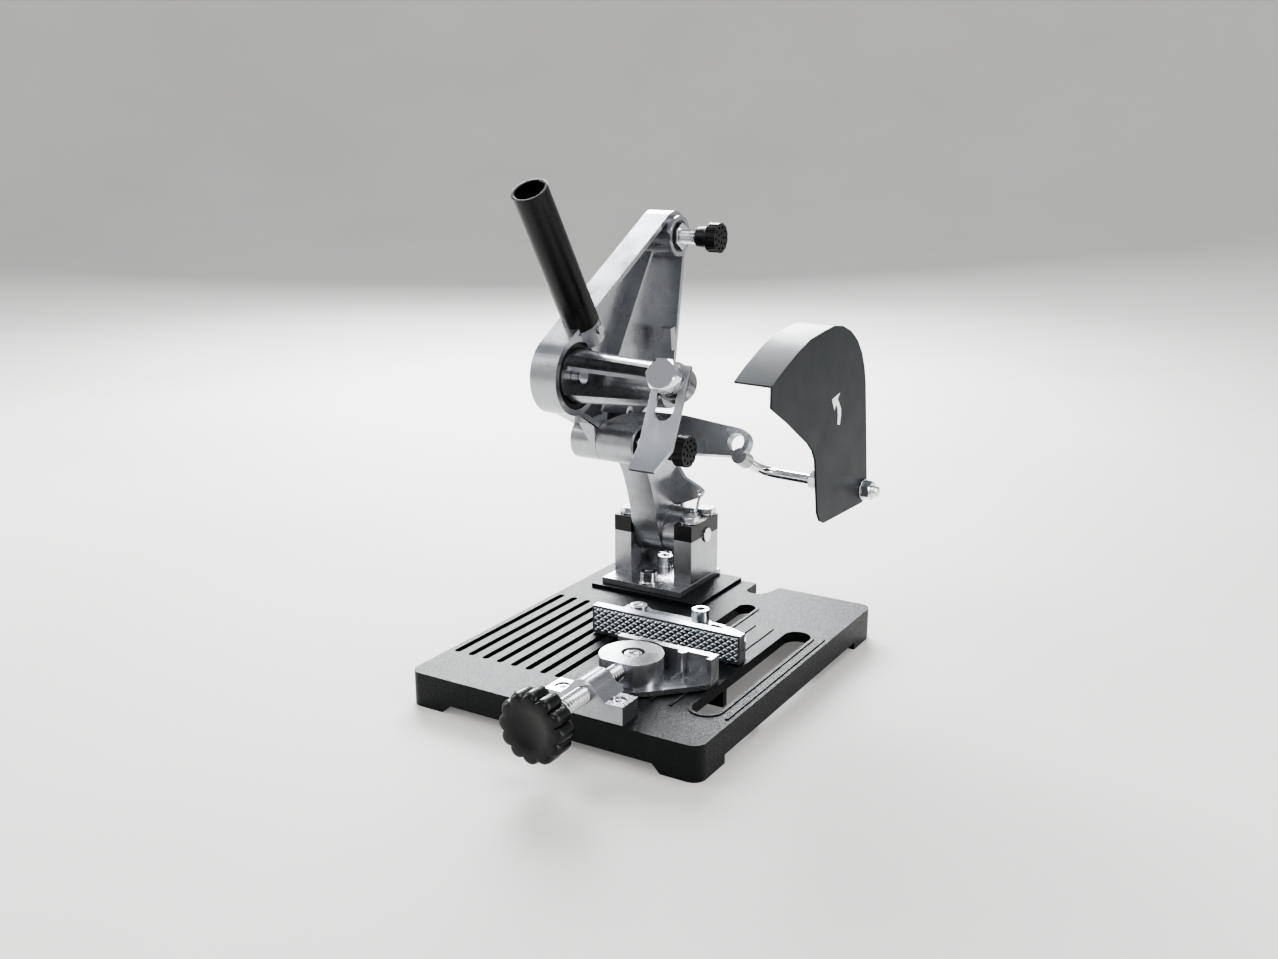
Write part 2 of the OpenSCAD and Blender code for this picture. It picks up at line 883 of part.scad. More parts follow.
module tool_bolt() {
    color(zinc)
    at_tool() {
        translate([0, 0, boss_front + plate_t + tool_washer_t])
            difference() {
                hex_z(tool_head_af, tool_head_h);
                translate([0, 0, tool_head_h - 1.2])
                    difference() {
                        cylinder(r = 20, h = 3);
                        translate([0, 0, -eps])
                            cylinder(r1 = tool_head_af / 2 + 1.5, r2 = tool_head_af / 2 - 1.2,
                                     h = 3);
                    }
            }
        translate([0, 0, boss_back])
            cylinder(r = tool_r, h = boss_front + plate_t + tool_washer_t - boss_back + eps);
        translate([0, 0, tool_end])
            cylinder(r = tool_end_r, h = boss_back - tool_end + eps);
    }
}

module tool_washer() {
    color(steel)
    at_tool()
        translate([0, 0, boss_front + plate_t + 2 * butt_gap])
            difference() {
                cylinder(r = 12, h = tool_washer_t - 2 * butt_gap);
                translate([0, 0, -1])
                    cylinder(r = tool_r + 0.05, h = tool_washer_t + 2);
            }
}

module support_plate() {
    lip = [-cos(lip_bend), -sin(lip_bend)];
    lip_normal = [-sin(lip_bend), cos(lip_bend)];
    corner = [-plate_down, 0];
    tip = corner + lip_l * lip;
    color(zinc)
    at_tool()
        translate([0, 0, boss_front + butt_gap])
            difference() {
                plate_yz(-plate_w / 2, plate_w / 2)
                    polygon([[plate_up, 0], [plate_up, plate_t],
                             [-plate_down - plate_t * tan(lip_bend / 2), plate_t],
                             tip + plate_t * lip_normal, tip, corner]);
                translate([0, -plate_down, 0])
                    rotate([lip_bend, 0, 0])
                        translate([0, 0, -5])
                            linear_extrude(plate_t + 10)
                                polygon([[plate_w / 2 - lip_cut, -lip_l - 5],
                                         [plate_w / 2 - lip_cut, -lip_l],
                                         [plate_w / 2, -2], [plate_w / 2 + 5, -2],
                                         [plate_w / 2 + 5, -lip_l - 5]]);
                translate([0, 0, -1])
                    slot_y(plate_slot_w, -plate_slot_down, plate_slot_w / 2, plate_t + 2);
            }
}

// ---- guard ----

socket_start = 30;
socket_l = 15;
socket_r = 6.2;
socket_depth = 10;
grub_l = 6;
lip_cut = 6.3;
bend_r = 14;

module guard_rod() {
    color(zinc) {
        at_guard() {
            bar_x(guard_rod_r, -rod_reach + bend_r, 13);
        }
        at_rod_socket()
            translate([0, 0, bend_r])
                cylinder(r = guard_rod_r, h = socket_start + socket_depth - 0.5 - bend_r);
        at_guard()
            translate([-rod_reach, 0, 0])
                rotate([0, 0, -guard_yaw])
                    rotate([90 - rod_drop, 0, 0])
                        rod_bend();
    }
}

// A quarter bend from the socket line to the guard line
module rod_bend() {
    translate([bend_r, 0, bend_r])
        rotate([90, 180, 0])
            rotate_extrude(angle = 90)
                translate([bend_r, 0])
                    circle(r = guard_rod_r);
}

module guard_shell() {
    rim = [for (i = [guard_rim_first:guard_rim_last]) guard_out[i]];
    inner = [for (i = [len(rim) - 1:-1:0])
                 let (p = rim[i],
                      a = rim[max(i - 1, 0)],
                      b = rim[min(i + 1, len(rim) - 1)],
                      d = (b - a) / norm(b - a))
                 p + guard_t * [d[1], -d[0]]];
    color(black)
    at_guard()
        difference() {
            union() {
                plate_yz(-guard_t, 0)
                    polygon(guard_out);
                plate_yz(-guard_rim_w, -eps)
                    polygon(concat(rim, inner));
            }
            bar_x(guard_rod_r + 0.05, -guard_rim_w - 1, 1);
        }
}

module guard_spacer() {
    color(black)
    at_guard()
        difference() {
            bar_x(7.5, -spacer_l, -guard_t - eps);
            bar_x(guard_rod_r + 0.05, -spacer_l - 1, 0);
        }
}

module guard_nuts() {
    color(zinc)
    at_guard()
        for (x = [-spacer_l - 8.1, 1.6])
            difference() {
                hex_x(13, x, x + 6.5, 0, 0);
                bar_x(guard_rod_r, x - 1, x + 8);
            }
}

module guard_washers() {
    color(zinc)
    at_guard()
        for (x = [-spacer_l - 1.5 - butt_gap, butt_gap])
            difference() {
                bar_x(8, x, x + 1.5);
                bar_x(guard_rod_r + 0.1, x - 1, x + 3);
            }
}

// ---- fence ----

module fence() {
    z0 = base_h + fence_gap;
    color(casting)
    difference() {
        union() {
            translate([fence_x0, fence_y, z0])
                cube([fence_x1 - fence_x0, fence_t, fence_h]);
            // rounded back behind the right-hand end
            intersection() {
                translate([fence_x1 - 27, fence_y + fence_t - 27 + 22, z0])
                    cylinder(r = 27, h = ledge_h);
                translate([fence_x1 - 40, fence_y, z0])
                    cube([40, 60, ledge_h]);
            }
            translate([fence_pivot[0] - 14, fence_y + 2, z0])
                cube([fence_x1 - 27 - fence_pivot[0] + 14, 30, ledge_h]);
            translate([fence_pivot[0], fence_pivot[1], z0])
                cylinder(r = 10, h = ledge_h + 1);
        }
        translate([fence_pivot[0], fence_pivot[1], z0 - 1])
            cylinder(r = 4.05, h = 40);
        // slot for the clamp bolt, along the fence
        translate([clamp_bolt[0], clamp_bolt[1], z0 - 1])
            rotate([0, 0, -90])
                slot_y(11, -5.5, 17, ledge_h + 2);
    }
}

module fence_pivot_screw() {
    color(zinc)
    translate([fence_pivot[0], fence_pivot[1], base_h + fence_gap + ledge_h + 1.3])
        socket_bolt(4, 6.5, 4, ledge_h + 18);
}

module fence_clamp_washer() {
    color(zinc)
    translate([clamp_bolt[0], clamp_bolt[1], base_h + fence_gap + ledge_h + 0.1])
        washer(4.1, 8.5, 1.6);
}

module fence_clamp_bolt() {
    color(zinc)
    translate([clamp_bolt[0], clamp_bolt[1], base_h + fence_gap + ledge_h + 1.7])
        socket_bolt(4, 6.5, 11, ledge_h + 25);
}

module fence_clamp_nut() {
    color(zinc)
    translate([clamp_bolt[0], clamp_bolt[1], base_h - shell_t - 8.2])
        difference() {
            translate([-9, -9, 0])
                cube([18, 18, 8]);
            translate([0, 0, -1])
                cylinder(r = 4, h = 10);
        }
}

// ---- vise ----

module nut_block() {
    color(casting)
    difference() {
        union() {
            translate([vise_x - block_w / 2, block_y0, base_h])
                cube([block_w, block_y1 - block_y0, block_h]);
            bar_y(arch_r, block_y0, arch_y1, vise_x, screw_z);
            translate([vise_x, arch_y1, 0])
                rotate([90, 0, 0])
                    linear_extrude(arch_y1 - block_y0)
                        polygon([[-arch_foot, base_h], [-arch_foot, base_h + block_h],
                                 [-arch_r * 0.9, screw_z + arch_r * 0.43],
                                 [arch_r * 0.9, screw_z + arch_r * 0.43],
                                 [arch_foot, base_h + block_h], [arch_foot, base_h]]);
        }
        bar_y(screw_r + 0.05, block_y0 - 5, block_y1 + 8, vise_x, screw_z);
        for (sx = [-1, 1])
            translate([vise_x + sx * block_screw_dx, block_screw_y, base_h - 1]) {
                cylinder(r = 3.1, h = 20);
                translate([0, 0, 8])
                    cylinder(r = 5.3, h = 20);
            }
    }
}

module nut_block_screws() {
    color(zinc)
    for (sx = [-1, 1])
        translate([vise_x + sx * block_screw_dx, block_screw_y, base_h + 7])
            socket_bolt(3, 5.1, 5, 20);
}

module lead_screw() {
    color(zinc) {
        bar_y(screw_r, knob_face_y + 6, jaw_y - 10, vise_x, screw_z);
        bar_y(screw_r - 1.5, jaw_y - 10 - eps, jaw_y - 5, vise_x, screw_z);
    }
}

module vise_knob() {
    color(black)
    difference() {
        union() {
            bar_y(knob_r - 1.8, knob_face_y, knob_face_y + knob_t - 2, vise_x, screw_z);
            for (i = [0:knob_lobes - 1])
                bar_y(4.2, knob_face_y + 0.6, knob_face_y + knob_t - 2,
                      vise_x + (knob_r - 4.2) * cos(360 * i / knob_lobes),
                      screw_z + (knob_r - 4.2) * sin(360 * i / knob_lobes));
            bar_y(11, knob_face_y + knob_t - 2 - eps, knob_face_y + knob_t + 3, vise_x, screw_z);
        }
        bar_y(screw_r, knob_face_y + 6, knob_face_y + knob_t + 4, vise_x, screw_z);
        translate([vise_x, knob_face_y + knob_t + 0.6, screw_z])
            cylinder(r = 1.5, h = 40, center = true);
    }
}

module knob_pin() {
    color(steel)
    difference() {
        translate([vise_x, knob_face_y + knob_t + 0.6, screw_z])
            cylinder(r = 1.5, h = 21, center = true);
        bar_y(screw_r, knob_face_y, knob_face_y + 40, vise_x, screw_z);
    }
}

module jaw_boss() {
    color(casting)
    difference() {
        translate([vise_x, jaw_y, jaw_z0])
            cylinder(r = jaw_r, h = jaw_z1 - jaw_z0);
        translate([vise_x - 30, jaw_y - 45, jaw_z0 - 1])
            cube([60, 45 - 18.5, 30]);
        bar_y(screw_r + 0.05, jaw_y - 30, jaw_y - 9.9, vise_x, screw_z);
        bar_y(screw_r - 1.45, jaw_y - 12, jaw_y - 4.9, vise_x, screw_z);
        translate([jaw_pivot[0], jaw_pivot[1], 0]) {
            translate([0, 0, jaw_z1 - 5])
                cylinder(r = 8, h = 10);
            cylinder(r = 4, h = 60);
        }
    }
}

module jaw_screw() {
    color(zinc)
    translate([jaw_pivot[0], jaw_pivot[1], jaw_z1 - 5])
        socket_bolt(4, 6, 4.4, jaw_z1 - 6.3 - base_h);
}

// Flat foot under the boss, with the jaw plate across its back
module swivel_jaw() {
    z0 = base_h + fence_gap;
    wall_h = jaw_top - z0;
    color(casting)
    difference() {
        union() {
            translate([jaw_pivot[0], jaw_pivot[1], z0])
                cylinder(r = 27, h = foot_t);
            linear_extrude(foot_t + z0)
                polygon([[jaw_x0, jaw_face_y], [jaw_x0 - 1, jaw_y], [vise_x + 5, jaw_y - 21],
                         [vise_x + 20, jaw_y - 17], [jaw_x1 - 1, -67], [jaw_x1, -62],
                         [jaw_x1, jaw_face_y]]);
            translate([jaw_x0, jaw_face_y - jaw_t, z0])
                cube([jaw_x1 - jaw_x0, jaw_t, wall_h]);
            translate([jaw_x1 - 3.5, -62, z0])
                cube([3.5, 62 + jaw_face_y, wall_h]);
            // round post against the wall, and its ribs on the foot
            translate([56, jaw_face_y - jaw_t - 1, z0])
                cylinder(r = 3.4, h = wall_h);
            translate([55, -74, z0])
                cube([2.4, 74 + jaw_face_y, foot_t + 2.5]);
            translate([64, -70, z0])
                cube([2.4, 70 + jaw_face_y, foot_t + 2.5]);
        }
        translate([0, -150, -1])
            cube([100, 150, z0 + 1]);
        translate([jaw_pivot[0], jaw_pivot[1], z0 + foot_t])
            cylinder(r = jaw_r + 2.3, h = 40);
        translate([jaw_pivot[0], jaw_pivot[1], 0])
            cylinder(r = 4.05, h = 60);
    }
}

base_plate();
column_bracket();
left_bearing_cap();
right_bearing_cap();
cap_bolts();
bracket_bolts();
bracket_washers();
pivot_pin();
swing_arm();
arm_bushes();
return_spring();
arm_lock_nut();
lower_rod();
lower_foot();
guard_grub_screw();
holder_frame();
handle_tube();
handle_screw();
sleeve_bush();
frame_lock_nut();
upper_rod();
upper_foot();
holder_sleeve();
sleeve_bolt();
tool_bolt();
tool_washer();
support_plate();
guard_rod();
guard_shell();
guard_spacer();
guard_nuts();
guard_washers();
fence();
fence_pivot_screw();
fence_clamp_bolt();
fence_clamp_washer();
fence_clamp_nut();
nut_block();
nut_block_screws();
lead_screw();
vise_knob();
knob_pin();
jaw_boss();
jaw_screw();
swivel_jaw();
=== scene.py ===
"""Looks of an angle grinder cut-off stand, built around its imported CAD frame. Metres, +Z up."""
import json
import math

import bmesh
import bpy
from mathutils import Matrix, Vector


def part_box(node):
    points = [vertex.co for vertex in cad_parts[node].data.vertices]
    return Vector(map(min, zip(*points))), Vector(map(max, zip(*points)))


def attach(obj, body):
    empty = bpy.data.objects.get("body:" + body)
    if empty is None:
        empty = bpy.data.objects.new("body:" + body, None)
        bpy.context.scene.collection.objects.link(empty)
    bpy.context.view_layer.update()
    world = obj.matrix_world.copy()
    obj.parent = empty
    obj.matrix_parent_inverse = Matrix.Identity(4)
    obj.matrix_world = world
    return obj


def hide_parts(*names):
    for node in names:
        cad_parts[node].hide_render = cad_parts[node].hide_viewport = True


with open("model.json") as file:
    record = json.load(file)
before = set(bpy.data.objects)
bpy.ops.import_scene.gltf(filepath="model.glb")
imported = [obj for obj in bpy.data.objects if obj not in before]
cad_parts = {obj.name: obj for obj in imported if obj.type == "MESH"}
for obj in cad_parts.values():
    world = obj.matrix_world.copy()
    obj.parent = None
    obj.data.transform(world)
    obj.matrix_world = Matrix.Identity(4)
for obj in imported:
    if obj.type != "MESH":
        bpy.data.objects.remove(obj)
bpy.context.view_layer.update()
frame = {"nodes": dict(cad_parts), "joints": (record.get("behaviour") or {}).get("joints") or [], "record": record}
NODES = frame["nodes"]
JOINTS = {j["name"]: j for j in frame["joints"]}
BODY_OF = {n: b for b, ns in frame["record"]["behaviour"]["bodies"].items() for n in ns}
SLOT_OF = {s["node"]: s["material_slot"] for s in frame["record"]["subparts"]}

MM = 0.001
X_AXIS = Vector((1, 0, 0))
Y_AXIS = Vector((0, 1, 0))


# ---------------------------------------------------------------- materials

class Shader:
    """A small builder around one Principled material with object-space procedural detail."""

    def __init__(self, name, color, roughness, metallic=0.0):
        self.mat = bpy.data.materials.new(name)
        self.mat.use_nodes = True
        self.tree = self.mat.node_tree
        self.bsdf = self.tree.nodes["Principled BSDF"]
        self.bsdf.inputs["Metallic"].default_value = metallic
        self.bsdf.inputs["Roughness"].default_value = roughness
        self.bsdf.inputs["Base Color"].default_value = (*color, 1)
        self.coords = self.tree.nodes.new("ShaderNodeTexCoord").outputs["Object"]
        self.height = None

    def link(self, a, b):
        self.tree.links.new(a, b)

    def stretched(self, scale):
        """Object coordinates scaled by a vector, for grain that runs one way."""
        node = self.tree.nodes.new("ShaderNodeMapping")
        node.inputs["Scale"].default_value = scale
        self.link(self.coords, node.inputs["Vector"])
        return node.outputs["Vector"]

    def noise(self, scale, detail=3.0, rough=0.5, vector=None):
        node = self.tree.nodes.new("ShaderNodeTexNoise")
        node.inputs["Scale"].default_value = scale
        node.inputs["Detail"].default_value = detail
        node.inputs["Roughness"].default_value = rough
        self.link(vector or self.coords, node.inputs["Vector"])
        return node.outputs["Fac"]

    def remap(self, value, low, high, to_low, to_high):
        node = self.tree.nodes.new("ShaderNodeMapRange")
        for key, number in (("From Min", low), ("From Max", high), ("To Min", to_low),
                            ("To Max", to_high)):
            node.inputs[key].default_value = number
        self.link(value, node.inputs["Value"])
        return node.outputs["Result"]

    def color_between(self, value, dark, light):
        node = self.tree.nodes.new("ShaderNodeMix")
        node.data_type = "RGBA"
        node.inputs["A"].default_value = (*dark, 1)
        node.inputs["B"].default_value = (*light, 1)
        self.link(value, node.inputs["Factor"])
        self.link(node.outputs["Result"], self.bsdf.inputs["Base Color"])

    def roughness(self, value):
        self.link(value, self.bsdf.inputs["Roughness"])

    def bump(self, value, strength, distance):
        """Adds a bump layer on top of the layers before it."""
        node = self.tree.nodes.new("ShaderNodeBump")
        node.inputs["Strength"].default_value = strength
        node.inputs["Distance"].default_value = distance
        self.link(value, node.inputs["Height"])
        if self.height is not None:
            self.link(self.height, node.inputs["Normal"])
        self.height = node.outputs["Normal"]
        self.link(self.height, self.bsdf.inputs["Normal"])


def cast_silver(name, color, roughness):
    """Silver die casting: faint orange peel, fine grain and slow changes of gloss."""
    s = Shader(name, color, roughness, metallic=0.92)
    slow = s.noise(35, 2)
    s.roughness(s.remap(slow, 0.3, 0.7, roughness - 0.06, roughness + 0.07))
    s.color_between(s.remap(s.noise(120, 4, 0.6), 0.35, 0.65, 0, 1),
                    [c * 0.93 for c in color], [min(1, c * 1.05) for c in color])
    s.bump(s.noise(260, 2), 0.05, 0.0002)
    s.bump(s.noise(1700, 2), 0.14, 0.0002)
    return s.mat


def textured_coat(name, color, roughness):
    """Black textured powder coat: small raised grains that catch glancing light, with a painted highlight on them.
    """
    s = Shader(name, color, roughness)
    grain = s.noise(950, 2, 0.6)
    # the raised grains are painted up to 2.3 times lighter: a painted highlight standing in for the glints they
    # catch in glancing light
    s.color_between(s.remap(grain, 0.42, 0.68, 0, 1), color, [c * 2.3 for c in color])
    s.roughness(s.remap(grain, 0.35, 0.65, roughness + 0.12, roughness - 0.1))
    s.bump(s.noise(420, 3, 0.6), 0.5, 0.0005)
    s.bump(grain, 0.8, 0.0005)
    s.bsdf.inputs["Specular IOR Level"].default_value = 0.32
    return s.mat


def plated(name, color, roughness, grain=0.1):
    """Plated steel: near mirror, with faint handling marks."""
    s = Shader(name, color, roughness, metallic=1.0)
    s.roughness(s.remap(s.noise(300, 4, 0.65), 0.35, 0.65, roughness * 0.75, roughness * 1.4))
    s.bump(s.noise(900, 2), grain, 0.0001)
    return s.mat


def brushed(name, color, roughness):
    """Zinc sheet with a faint rolling grain along its length."""
    s = Shader(name, color, roughness, metallic=1.0)
    lines = s.noise(60, 3, 0.6, s.stretched((9, 1.2, 1)))
    s.roughness(s.remap(lines, 0.3, 0.7, roughness - 0.02, roughness + 0.03))
    s.color_between(s.remap(s.noise(90, 3), 0.35, 0.65, 0, 1),
                    [c * 0.97 for c in color], [min(1, c * 1.02) for c in color])
    return s.mat


def satin_coat(name, color, roughness, peel=0.12):
    """Smooth satin paint or moulded plastic with a light orange peel."""
    s = Shader(name, color, roughness)
    s.roughness(s.remap(s.noise(45, 3), 0.3, 0.7, roughness - 0.05, roughness + 0.06))
    s.color_between(s.remap(s.noise(70, 3), 0.3, 0.7, 0, 1),
                    [c * 0.9 for c in color], [c * 1.12 for c in color])
    s.bump(s.noise(800, 2), peel, 0.0002)
    return s.mat


MATERIALS = {
    "black_casting": textured_coat("black_casting", (0.0045, 0.0055, 0.0062), 0.36),
    "silver_casting": cast_silver("silver_casting", (0.43, 0.44, 0.455), 0.27),
    "fence_casting": cast_silver("fence_casting", (0.36, 0.38, 0.40), 0.30),
    "black_cap": satin_coat("black_cap", (0.006, 0.0065, 0.007), 0.3),
    "zinc": plated("zinc", (0.74, 0.75, 0.77), 0.16),
    "plate_zinc": brushed("plate_zinc", (0.56, 0.575, 0.60), 0.3),
    "bright_chrome": plated("bright_chrome", (0.82, 0.83, 0.84), 0.07, grain=0.04),
    "spring_steel": plated("spring_steel", (0.5, 0.5, 0.51), 0.24),
    "bronze": plated("bronze", (0.5, 0.36, 0.2), 0.35),
    "foot_rubber": satin_coat("foot_rubber", (0.006, 0.006, 0.0062), 0.4, peel=0.25),
    "handle_black": satin_coat("handle_black", (0.005, 0.0052, 0.0055), 0.30, peel=0.1),
    "guard_paint": satin_coat("guard_paint", (0.016, 0.020, 0.023), 0.40, peel=0.2),
    "knob_plastic": satin_coat("knob_plastic", (0.006, 0.0068, 0.007), 0.34, peel=0.2),
}
ARROW_WHITE = satin_coat("arrow_white", (0.8, 0.8, 0.8), 0.45, peel=0.05)


# ---------------------------------------------------------------- mesh helpers

ROUND_BAR_ANGLE = 50
HEX_SHADE_ANGLE = 25
# share of a hexagon's inner radius that its chamfer leaves flat, and the chamfer's slope
HEX_FLAT_SHARE = 0.96
HEX_CHAMFER = math.radians(30)
# how steep a thread's flanks are, how wide its root is, and how fast its ends taper
THREAD_FLANK = 2.6
THREAD_ROOT = 0.15
THREAD_TAPER = 1.2


def finish_piece(obj, node, material=None):
    """obj stands for a CAD node: it rides on that node's body with its material slot."""
    slot = SLOT_OF[node]
    obj.data.materials.clear()
    obj.data.materials.append(material or MATERIALS[slot])
    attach(obj, BODY_OF[node])
    return obj


def smooth_by_angle(mesh, degrees=35):
    """Smooth shading with sharp edges where faces meet at more than the angle."""
    bm = bmesh.new()
    bm.from_mesh(mesh)
    limit = math.radians(degrees)
    for face in bm.faces:
        face.smooth = True
    for edge in bm.edges:
        edge.smooth = len(edge.link_faces) == 2 and edge.calc_face_angle(0) < limit
    bm.to_mesh(mesh)
    bm.free()


def new_object(name, mesh):
    obj = bpy.data.objects.new(name, mesh)
    bpy.context.scene.collection.objects.link(obj)
    return obj


def mesh_object(name, verts, faces):
    mesh = bpy.data.meshes.new(name)
    mesh.from_pydata([tuple(v) for v in verts], [], faces)
    mesh.validate()
    bm = bmesh.new()
    bm.from_mesh(mesh)
    bmesh.ops.recalc_face_normals(bm, faces=bm.faces)
    bm.to_mesh(mesh)
    bm.free()
    return new_object(name, mesh)


def refined(node, width, segments=2, angle=32):
    """A cleaned copy of a CAD node with rounded edges, which stands for the node."""
    mesh = NODES[node].data.copy()
    bm = bmesh.new()
    bm.from_mesh(mesh)
    bmesh.ops.remove_doubles(bm, verts=bm.verts, dist=2e-6)
    bmesh.ops.dissolve_limit(bm, angle_limit=math.radians(0.4), verts=bm.verts, edges=bm.edges)
    bm.to_mesh(mesh)
    bm.free()
    for name in ("custom_normal", "sharp_edge", "sharp_face"):
        if name in mesh.attributes:
            mesh.attributes.remove(mesh.attributes[name])
    smooth_by_angle(mesh)
    obj = new_object(node + "_look", mesh)
    if width:
        mod = obj.modifiers.new("rounded_edges", "BEVEL")
        mod.width = width
        mod.segments = segments
        mod.limit_method = "ANGLE"
        mod.angle_limit = math.radians(angle)
        mod.use_clamp_overlap = True
        mod.harden_normals = True
        mod.miter_outer = "MITER_ARC"
    finish_piece(obj, node)
    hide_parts(node)
    return obj


def frame_at(origin, axis, up=None):
    """A matrix with local Z along axis at origin."""
    z = Vector(axis).normalized()
    up = Vector(up) if up is not None else (Y_AXIS if abs(z.y) < 0.9 else X_AXIS)
    x = up.cross(z).normalized()
    y = z.cross(x)
    return Matrix.Translation(Vector(origin)) @ Matrix((x, y, z)).transposed().to_4x4()


def revolve(name, profile, place, around=48):
    """A solid of revolution about local Z from (radius, height) points."""
    verts, faces, rings = [], [], []
    for r, z in profile:
        if r < 1e-7:
            rings.append([len(verts)] * around)
            verts.append(place @ Vector((0, 0, z)))
        else:
            rings.append(list(range(len(verts), len(verts) + around)))
            verts += [place @ Vector((r * math.cos(a), r * math.sin(a), z))
                      for a in (2 * math.pi * i / around for i in range(around))]
    for low, high in zip(rings, rings[1:]):
        for i in range(around):
            j = (i + 1) % around
            corners = [low[i], low[j], high[j], high[i]]
            faces.append([c for k, c in enumerate(corners) if c not in corners[:k]])
    obj = mesh_object(name, verts, faces)
    smooth_by_angle(obj.data)
    return obj


def threaded(name, start, end, radius, pitch, depth, chamfer=0.0008, around=40, steps=8):
    """A helical thread from start to end with chamfered ends."""
    start, end = Vector(start), Vector(end)
    length = (end - start).length
    place = frame_at(start, end - start)
    rows = max(2, round(length / pitch * steps))
    verts, faces = [], []
    for k in range(rows + 1):
        z = length * k / rows
        tip = max(0, chamfer - z, z - (length - chamfer))
        for i in range(around):
            turn = i / around
            phase = (z / pitch - turn) % 1
            flank = min(1, max(0, THREAD_FLANK * (0.5 - abs(phase - 0.5)) - THREAD_ROOT))
            r = min(radius - depth * (1 - flank), radius - tip * THREAD_TAPER)
            verts.append(place @ Vector((r * math.cos(2 * math.pi * turn),
                                         r * math.sin(2 * math.pi * turn), z)))
    for k in range(rows):
        for i in range(around):
            j = (i + 1) % around
            faces.append((k * around + i, k * around + j, (k + 1) * around + j,
                          (k + 1) * around + i))
    faces.append(tuple(reversed(range(around))))
    faces.append(tuple(range(rows * around, (rows + 1) * around)))
    obj = mesh_object(name, verts, faces)
    smooth_by_angle(obj.data, ROUND_BAR_ANGLE)
    return obj


def hex_prism(name, place, across_flats, low, high, chamfered_low=False, around=72, bore=0.0):
    """A hexagon along local Z with a turned chamfer on its free faces."""
    verts, faces, rings = [], [], []
    inner = across_flats / 2
    flat = inner * HEX_FLAT_SHARE

    def hex_radius(angle):
        return inner / math.cos((angle + math.pi / 6) % (math.pi / 3) - math.pi / 6)

    def ring(radius_of, z_of):
        rings.append(list(range(len(verts), len(verts) + around)))
        for i in range(around):
            a = 2 * math.pi * i / around
            verts.append(place @ Vector((radius_of(a) * math.cos(a),
                                         radius_of(a) * math.sin(a), z_of(a))))

    def drop(angle):
        return max(0, hex_radius(angle) - flat) * math.tan(HEX_CHAMFER)

    if bore:
        ring(lambda a: bore, lambda a: low)
    if chamfered_low:
        ring(lambda a: flat, lambda a: low)
        ring(hex_radius, lambda a: low + drop(a))
    else:
        ring(hex_radius, lambda a: low)
    ring(hex_radius, lambda a: high - drop(a))
    ring(lambda a: flat, lambda a: high)
    if bore:
        ring(lambda a: bore, lambda a: high)
    for lower, upper in zip(rings, rings[1:] + (rings[:1] if bore else [])):
        for i in range(around):
            j = (i + 1) % around
            faces.append((lower[i], lower[j], upper[j], upper[i]))
    if not bore:
        faces.append(tuple(reversed(rings[0])))
        faces.append(tuple(rings[-1]))
    obj = mesh_object(name, verts, faces)
    smooth_by_angle(obj.data, HEX_SHADE_ANGLE)
    return obj


def sweep(name, points, radius, around=24):
    """A round bar along a smooth path, with flat ends."""
    points = [Vector(p) for p in points]
    verts, faces = [], []
    side = None
    for k, p in enumerate(points):
        ahead = points[min(k + 1, len(points) - 1)] - points[max(k - 1, 0)]
        t = ahead.normalized()
        side = (side - t * side.dot(t)).normalized() if side else t.orthogonal().normalized()
        other = t.cross(side)
        for i in range(around):
            a = 2 * math.pi * i / around
            verts.append(p + radius * (math.cos(a) * side + math.sin(a) * other))
    for k in range(len(points) - 1):
        for i in range(around):
            j = (i + 1) % around
            faces.append((k * around + i, k * around + j, (k + 1) * around + j,
                          (k + 1) * around + i))
    faces.append(tuple(reversed(range(around))))
    faces.append(tuple(range((len(points) - 1) * around, len(points) * around)))
    obj = mesh_object(name, verts, faces)
    smooth_by_angle(obj.data, ROUND_BAR_ANGLE)
    return obj


def join_as(name, pieces):
    """One object out of several meshes."""
    bm = bmesh.new()
    for piece in pieces:
        bm.from_mesh(piece.data)
    mesh = bpy.data.meshes.new(name)
    bm.to_mesh(mesh)
    bm.free()
    for piece in pieces:
        bpy.data.objects.remove(piece)
    return new_object(name, mesh)


def ends(node, axis):
    """The two end points of a node's middle line along an axis, from its box."""
    low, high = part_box(node)
    middle = (low + high) / 2
    a, b = middle.copy(), middle.copy()
    a[axis], b[axis] = low[axis], high[axis]
    return a, b


# ---------------------------------------------------------------- plain castings and sheet

# for each node, the width of its rounded edges and the segments across them
ROUNDED = {
    "base_plate": (0.0009, 3), "column_bracket": (0.0009, 3), "left_bearing_cap": (0.0006, 2),
    "right_bearing_cap": (0.0006, 2), "bracket_bolts": (0.0004, 2),
    "bracket_washers": (0.0003, 2), "pivot_pin": (0.0005, 2), "swing_arm": (0.0008, 3),
    "arm_bushes": (0.0003, 1), "arm_lock_nut": (0.0004, 2), "lower_foot": (0.0006, 2),
    "guard_grub_screw": (0.0003, 1), "holder_frame": (0.0010, 3), "handle_tube": (0.0006, 3),
    "handle_screw": (0.0004, 2), "sleeve_bush": (0.0005, 2), "frame_lock_nut": (0.0004, 2),
    "upper_foot": (0.0006, 2), "holder_sleeve": (0.0007, 2), "sleeve_bolt": (0.0004, 2),
    "tool_washer": (0.0005, 2), "support_plate": (0.0006, 2), "guard_shell": (0.0005, 2),
    "guard_spacer": (0.0006, 2), "guard_washers": (0.0003, 2), "fence": (0.0008, 3),
    "fence_pivot_screw": (0.0004, 2), "fence_clamp_bolt": (0.0004, 2),
    "fence_clamp_washer": (0.0003, 2), "fence_clamp_nut": (0.0003, 2),
    "nut_block": (0.0012, 3), "nut_block_screws": (0.0004, 2),
    "knob_pin": (0.0002, 1), "jaw_boss": (0.0009, 3), "jaw_screw": (0.0004, 2),
    "swivel_jaw": (0.0009, 3),
}
for node_name, (edge_width, edge_segments) in ROUNDED.items():
    refined(node_name, edge_width, edge_segments)

spring = refined("return_spring", 0)
spring.modifiers.new("round_wire", "SUBSURF").levels = 1
spring.modifiers["round_wire"].render_levels = 1


